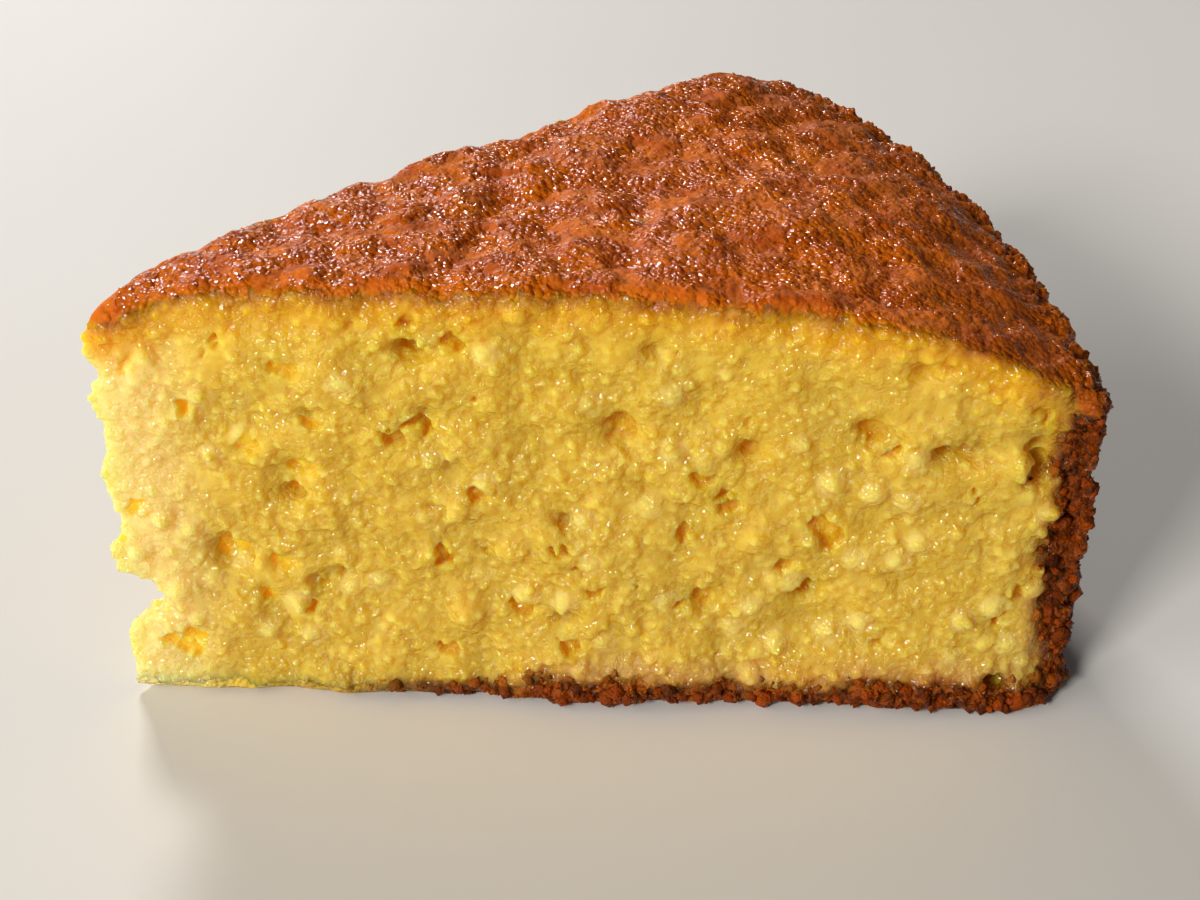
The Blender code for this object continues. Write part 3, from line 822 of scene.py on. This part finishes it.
def baked_material(name, light_depth, glow, gloss, film_values, toasted=0.0):
    """A baked surface: its tone, its moist film, and how far light soaks in."""
    material = bpy.data.materials.new(name)
    material.use_nodes = True
    tree = material.node_tree
    shader = tree.nodes["Principled BSDF"]
    colour = node(tree, "ShaderNodeGroup", node_tree=baked_tone).outputs["Color"]
    if toasted:
        toast = mix_colour(tree, surface_value(tree, "own_tone"), TOASTED_DARK, TOASTED_WARM)
        colour = mix_colour(tree, toasted, colour, toast)
    tree.links.new(colour, shader.inputs["Base Color"])
    film = node(tree, "ShaderNodeGroup", film_values, node_tree=moist_film)
    tree.links.new(film.outputs["Roughness"], shader.inputs["Roughness"])
    feeds = {"Height": film.outputs["Height"], "Strength": 1.0, "Distance": 1.0}
    bump = node(tree, "ShaderNodeBump", feeds)
    tree.links.new(bump.outputs["Normal"], shader.inputs["Normal"])
    shader.inputs["Specular IOR Level"].default_value = gloss
    shader.inputs["Subsurface Weight"].default_value = glow
    shader.inputs["Subsurface Radius"].default_value = (1.0, 0.65, 0.18)
    shader.inputs["Subsurface Scale"].default_value = light_depth
    return material


# The crumb is the whole body of the slice. It dives a little under the crust, and is kept fine
# on the face that the knife left in front, and coarser behind and under the skin.
SKIN_TUCK = 0.0005
UNDER_CRUST = 0.0006
SEAM_WIDTH = 0.0004
FRONT_STRIP = 0.004
THIN_HIDDEN = 1.0
THIN_BEHIND = 0.4
THIN_SEEN = 0.05
CRUMB_TRIANGLES = 194000


def thin_mesh(work, weights, triangles):
    """Thins the mesh where the weights are above nothing, to this many triangles in all."""
    group = work.vertex_groups.new(name="thin")
    for level in np.unique(weights):
        if level > 0:
            group.add(np.nonzero(weights == level)[0].tolist(), float(level), "REPLACE")
    count = sum(len(polygon.vertices) - 2 for polygon in work.data.polygons)
    finish_mesh(
        work,
        ("TRIANGULATE", {}),
        ("DECIMATE", {"ratio": min(1.0, triangles / count), "vertex_group": "thin"}),
    )
    work.vertex_groups.clear()


def place_points(mesh, places):
    mesh.vertices.foreach_set("co", places.astype(np.float32).ravel())


def hand_over(piece, material):
    """Gives a finished piece its material and its place in the slice."""
    piece.data.materials.clear()
    piece.data.materials.append(material)
    piece.data.shade_smooth()
    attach(piece, "root")
    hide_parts("cake_slice")


crumb_material = baked_material(
    "moist_crumb",
    light_depth=0.0052,
    glow=1.0,
    gloss=0.5,
    film_values={
        "Cluster size": 0.0028,
        "Grain size": 0.00065,
        "Grain height": 0.00023,
        "Coarseness": 0.5,
        "Driest": 0.75,
        "Wettest": 0.14,
    },
)
crumb_piece = new_object("crumb", body.data.copy())
normals = read_vectors(crumb_piece.data.vertex_normals, len(points), "vector")
tuck = SKIN_TUCK * smooth_step(0.0002, 0.0009, inside_skin)
place_points(crumb_piece.data, points - normals * tuck[:, None])
hidden = inside_skin > UNDER_CRUST
behind = (depth["far"] < depth["near"]) & (depth["near"] > FRONT_STRIP)
at_seam = (inside_skin > -SEAM_WIDTH) & ~hidden
weights = np.where(hidden, THIN_HIDDEN, np.where(behind, THIN_BEHIND, THIN_SEEN))
thin_mesh(crumb_piece, np.where(at_seam, 0.0, weights), CRUMB_TRIANGLES)
hand_over(crumb_piece, crumb_material)

# The crust is the skin that browned in the oven: glossy and wrinkled on top, rough and dark
# where it stood against the tin, thin under the base. It is one closed shell over the crumb.
CRUST_THICKNESS = 0.0010
CRUST_TRIANGLES = 194000
CRUST_PROUD = 0.00005
SHARP_EDGE = math.radians(70)

crust_material = baked_material(
    "browned_crust",
    light_depth=0.0014,
    glow=0.5,
    gloss=0.20,
    film_values={
        "Cluster size": 0.005,
        "Grain size": 0.00070,
        "Grain height": 0.00031,
        "Coarseness": 0.6,
        "Driest": 0.85,
        "Wettest": 0.12,
    },
)

crust_skin, given, result = new_group(
    "crust_skin",
    "GeometryNodeTree",
    (("Geometry", "NodeSocketGeometry", None), ("Material", "NodeSocketMaterial", None)),
    (("Geometry", "NodeSocketGeometry"),),
)
chosen = calc(crust_skin, "GREATER_THAN", kept_value(crust_skin, "inside_skin"), 0.0)
feeds = {"Geometry": given["Geometry"], "Selection": chosen}
patch = node(crust_skin, "GeometryNodeSeparateGeometry", feeds, domain="FACE")
end_tree(crust_skin, patch.outputs[0], given["Material"], result)

crust_piece = new_object("crust", body.data.copy())
place_points(crust_piece.data, points + normals * CRUST_PROUD)
crust_piece.vertex_groups.new(name="inner")
run_tree(crust_piece, crust_skin)
finish_mesh(crust_piece)
drop_scraps(crust_piece.data)
finish_mesh(
    crust_piece,
    ("SOLIDIFY", {"thickness": CRUST_THICKNESS, "offset": -1.0, "shell_vertex_group": "inner"}),
)
inner = np.zeros(len(crust_piece.data.vertices))
for vertex in crust_piece.data.vertices:
    if vertex.groups:
        inner[vertex.index] = vertex.groups[0].weight
lying = read_points(crust_piece.data)[:, 2] < BASE_BAND
at_seam = (read_values(crust_piece.data, "inside_skin") < SEAM_WIDTH) & (inner < 0.5)
crust_piece.vertex_groups.clear()
weights = np.where((inner > 0.5) | lying, THIN_HIDDEN, THIN_SEEN)
thin_mesh(crust_piece, np.where(at_seam, 0.0, weights), CRUST_TRIANGLES)
hand_over(crust_piece, crust_material)
crust_piece.data.set_sharp_from_angle(angle=SHARP_EDGE)

# Loose-looking grains that cling to the surface: glossy beads on the browned top, and coarse
# toasted crumbs on the rim and along the base.
scattered_grains, given, result = new_group(
    "scattered_grains",
    "GeometryNodeTree",
    (
        ("Geometry", "NodeSocketGeometry", None),
        ("Share", "NodeSocketString", ""),
        ("Spacing", "NodeSocketFloat", 0.0006),
        ("Density", "NodeSocketFloat", 1000000.0),
        ("Smallest", "NodeSocketFloat", 0.00016),
        ("Largest", "NodeSocketFloat", 0.00045),
        ("Sunk", "NodeSocketFloat", 0.35),
        ("Roughness", "NodeSocketFloat", 0.0003),
        ("Fineness", "NodeSocketInt", 1),
        ("Seed", "NodeSocketInt", 3),
        ("Material", "NodeSocketMaterial", None),
    ),
    (("Geometry", "NodeSocketGeometry"),),
)
tree = scattered_grains
share = kept_value(tree, given["Share"])
scatter = scattered_points(
    tree,
    given["Geometry"],
    calc(tree, "GREATER_THAN", share, 0.02),
    given["Spacing"],
    given["Density"],
    share,
    given["Seed"],
)
size = skewed_size(tree, 13, given["Smallest"], given["Largest"])
sunk = product(tree, size, given["Sunk"], -1.0)
lumps = scattered_lumps(
    tree,
    keep_value(tree, scatter["Points"], "own_tone", random_value(tree, 21, 0.0, 1.0)),
    size,
    fineness=given["Fineness"],
    shift=vector_calc(tree, "SCALE", scatter["Normal"], sunk),
    roughness=given["Roughness"],
    roughness_size=0.0006,
)
end_tree(tree, lumps, given["Material"], result)


def scatter_piece(name, share, material, **values):
    """Scatters lumps over the body where the share says, and hands them over as one piece."""
    piece = new_object(name, body.data.copy())
    write_values(piece.data, "share", share)
    run_tree(piece, scattered_grains, Share="share", **values)
    finish_mesh(piece)
    hand_over(piece, material)


def field(size, seed):
    """A soft pattern from 0 to 1 over the body, with features of about this size."""
    draw = np.random.default_rng(seed)
    total = np.zeros(len(points))
    for _ in range(6):
        way = draw.normal(size=3)
        way *= 2 * math.pi / (size * np.linalg.norm(way)) * draw.uniform(0.7, 1.4)
        total += np.sin(points @ way + draw.uniform(0, 2 * math.pi))
    return smooth_step(-1.5, 1.5, total)


off_table = smooth_step(0.0003, 0.0008, points[:, 2])
top_share = smooth_step(0.0016, 0.0006, top_depth) * (0.3 + 0.7 * field(0.007, 2)) * off_table
glaze_material = baked_material(
    "glossy_beads",
    light_depth=0.0006,
    glow=0.2,
    gloss=0.2,
    film_values={
        "Cluster size": 0.004,
        "Grain size": 0.0003,
        "Grain height": 0.00003,
        "Driest": 0.4,
        "Wettest": 0.15,
    },
)
scatter_piece(
    "crust_grains",
    top_share,
    glaze_material,
    Seed=5,
    Spacing=0.00050,
    Density=2600000.0,
    Smallest=0.00020,
    Largest=0.00048,
    Sunk=0.55,
    Roughness=0.0004,
)

rim_share = smooth_step(0.0030, 0.0010, rim_depth) * smooth_step(0.0008, 0.0030, top_depth)
edge_height = 0.0012 + 0.0022 * field(0.012, 7)
edge_share = smooth_step(1.0, 0.4, base_depth / edge_height)
edge_share = edge_share * smooth_step(0.020, 0.036, depth["radius"])
toast_share = np.maximum(rim_share, edge_share) * off_table
toast_material = baked_material(
    "toasted_crumbs",
    light_depth=0.0006,
    glow=0.2,
    gloss=0.10,
    film_values={
        "Cluster size": 0.004,
        "Grain size": 0.00035,
        "Grain height": 0.00016,
        "Driest": 0.75,
        "Wettest": 0.2,
    },
    toasted=0.7,
)
scatter_piece(
    "toasted_crumbs",
    toast_share,
    toast_material,
    Seed=8,
    Spacing=0.00062,
    Density=1800000.0,
    Smallest=0.00030,
    Largest=0.00105,
    Sunk=0.40,
    Roughness=0.0016,
)
bpy.data.objects.remove(body)

# The table top, the lights and the camera. A window behind on the left makes the crust glint, a
# lamp and the room light the cut face from the left, and the camera has the photograph's angle.
TABLE_REACH = 1.5
TABLE_TONES = (srgb(216, 212, 204), srgb(222, 218, 211))
LIT_POINT = Vector((0.0, 0.0, 0.02))
SOFT_WHITE = (1.0, 0.99, 0.975)
WINDOW_WHITE = (1.0, 0.98, 0.98)
BACKDROP_WHITE = (0.94, 0.96, 1.0, 1.0)
LENS = 58.5
SENSOR_WIDTH = 36.0
CAMERA_PLACE = Vector((0.00392, -0.20226, 0.1347))
CAMERA_PITCH = math.radians(31.55)
CAMERA_TURN = (-0.0227, 0.9997)

floor_mesh = bpy.data.meshes.new("table_top")
shape = bmesh.new()
bmesh.ops.create_grid(shape, x_segments=1, y_segments=1, size=TABLE_REACH)
shape.to_mesh(floor_mesh)
shape.free()
table_top = new_object("table_top", floor_mesh)
table_material = bpy.data.materials.new("pale_table")
table_material.use_nodes = True
tree = table_material.node_tree
shader = tree.nodes["Principled BSDF"]
place = node(tree, "ShaderNodeTexCoord").outputs["Object"]
clouds = noise_value(tree, place, 0.15, 3.0)
tree.links.new(mix_colour(tree, clouds, *TABLE_TONES), shader.inputs["Base Color"])
shader.inputs["Roughness"].default_value = 0.7
table_top.data.materials.append(table_material)


def area_light(name, place, size, power, colour):
    """A rectangular light turned to the slice, its size in metres and its power in watts."""
    light = bpy.data.lights.new(name, "AREA")
    light.shape = "RECTANGLE"
    light.size, light.size_y = size
    light.energy = power
    light.color = colour
    lamp = new_object(name, light)
    lamp.location = place
    lamp.rotation_euler = (LIT_POINT - Vector(place)).to_track_quat("-Z", "Y").to_euler()


area_light("window", (-0.60, 1.60, 0.85), (0.44, 0.34), 25.0, WINDOW_WHITE)
area_light("room", (-1.55, -0.55, 0.95), (1.3, 1.1), 12.0, SOFT_WHITE)
area_light("lamp", (-0.90, -1.32, 0.85), (0.46, 0.40), 27.0, SOFT_WHITE)

world = bpy.data.worlds.new("studio")
world.use_nodes = True
backdrop = world.node_tree.nodes["Background"]
backdrop.inputs["Color"].default_value = BACKDROP_WHITE
backdrop.inputs["Strength"].default_value = 0.08
bpy.context.scene.world = world
bpy.context.scene.view_settings.view_transform = "Standard"

camera_data = bpy.data.cameras.new("camera")
camera_data.lens = LENS
camera_data.sensor_width = SENSOR_WIDTH
camera = new_object("camera", camera_data)
camera.location = CAMERA_PLACE
level = math.cos(CAMERA_PITCH)
aim = Vector((CAMERA_TURN[0] * level, CAMERA_TURN[1] * level, -math.sin(CAMERA_PITCH)))
camera.rotation_euler = aim.to_track_quat("-Z", "Y").to_euler()
bpy.context.scene.camera = camera
